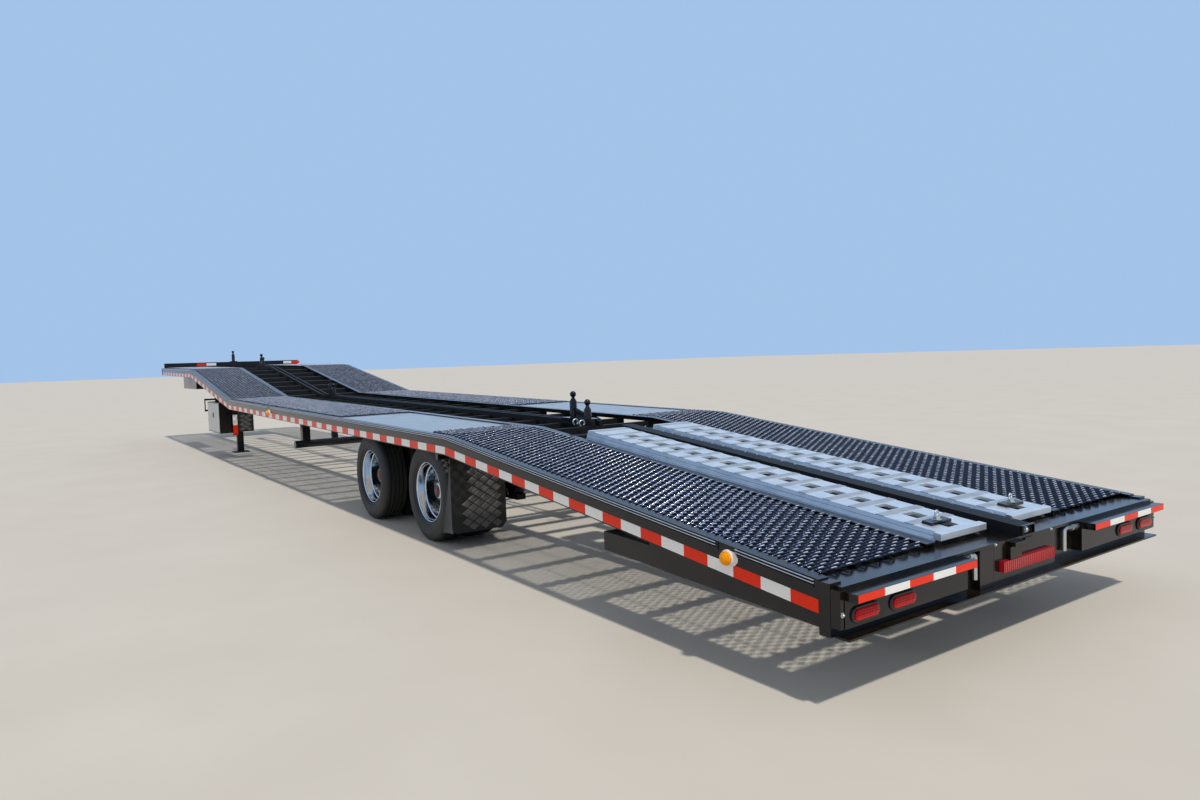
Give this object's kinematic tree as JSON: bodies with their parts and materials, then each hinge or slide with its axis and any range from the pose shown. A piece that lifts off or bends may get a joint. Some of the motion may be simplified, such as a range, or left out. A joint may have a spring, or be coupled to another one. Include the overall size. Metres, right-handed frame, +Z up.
{
  "type": "step deck car hauler trailer",
  "caption": "Open step deck semi-trailer with grated treads, a sloping tail, stored loading ramps, tandem axles of twin wheels and landing legs.",
  "frame": {"origin": "on the ground under the middle of the overall length and width", "axes": "+X forward to the kingpin, +Y to the trailer's left, +Z up"},
  "size_m": [16.154, 2.6526, 1.6813],
  "materials": {
    "amber_lens": "clear amber",
    "black_paint": "gloss black paint",
    "flap_rubber": "matt",
    "galvanised_plate": "galvanised",
    "polished_aluminium": "polished",
    "ramp_aluminium": "mill",
    "red_lens": "clear red",
    "tool_box_plate": "bare plate",
    "tyre_rubber": "matt",
    "zinc_steel": "zinc plated"
  },
  "bodies": {
    "chassis": {"air_tanks": "black_paint", "axle_front": "black_paint", "axle_rear": "black_paint", "ball_posts": "black_paint", "centre_rails": "black_paint", "cross_tube": "black_paint", "crossmembers_front": "black_paint", "crossmembers_mid": "black_paint", "crossmembers_rear": "black_paint", "crossmembers_slope": "black_paint", "flap_bars": "black_paint", "front_bar": "black_paint", "grating_front_left": "black_paint", "grating_front_right": "black_paint", "grating_mid_left": "black_paint", "grating_mid_right": "black_paint", "grating_rear_left": "black_paint", "grating_rear_right": "black_paint", "grating_slope_left": "black_paint", "grating_slope_right": "black_paint", "hold_pins": "zinc_steel", "kingpin_plate": "black_paint", "lamp_box_left": "black_paint", "lamp_box_right": "black_paint", "landing_legs": "black_paint", "leg_guard": "black_paint", "leg_guard_flap": "flap_rubber", "light_bar": "red_lens", "main_beam_left": "black_paint", "main_beam_right": "black_paint", "mud_flap_left": "flap_rubber", "mud_flap_right": "flap_rubber", "neck_box_left": "black_paint", "ramp_left": "ramp_aluminium", "ramp_right": "ramp_aluminium", "side_markers": "amber_lens", "side_rail_left": "black_paint", "side_rail_right": "black_paint", "stop_lamps": "red_lens", "suspension": "black_paint", "tail_header": "black_paint", "tool_box_left": "tool_box_plate", "tread_rails_left": "black_paint", "tread_rails_right": "black_paint", "under_box_left": "black_paint", "under_box_right": "black_paint", "wheel_cover_left": "galvanised_plate", "wheel_cover_right": "galvanised_plate"},
    "wheels_front_left": {"tyres_front_left": "tyre_rubber", "rims_front_left": "polished_aluminium"},
    "wheels_front_right": {"tyres_front_right": "tyre_rubber", "rims_front_right": "polished_aluminium"},
    "wheels_rear_left": {"tyres_rear_left": "tyre_rubber", "rims_rear_left": "polished_aluminium"},
    "wheels_rear_right": {"tyres_rear_right": "tyre_rubber", "rims_rear_right": "polished_aluminium"}
  },
  "joints": [
    {"name": "turn_front_left", "type": "hinge", "parent": "chassis", "child": "wheels_front_left", "pos_m": [-2.967, 0.961, 0.366], "axis": [0, 1, 0], "continuous": true},
    {"name": "turn_front_right", "type": "hinge", "parent": "chassis", "child": "wheels_front_right", "pos_m": [-2.967, -0.961, 0.366], "axis": [0, 1, 0], "continuous": true},
    {"name": "turn_rear_left", "type": "hinge", "parent": "chassis", "child": "wheels_rear_left", "pos_m": [-4.162, 0.961, 0.366], "axis": [0, 1, 0], "continuous": true},
    {"name": "turn_rear_right", "type": "hinge", "parent": "chassis", "child": "wheels_rear_right", "pos_m": [-4.162, -0.961, 0.366], "axis": [0, 1, 0], "continuous": true}
  ]
}
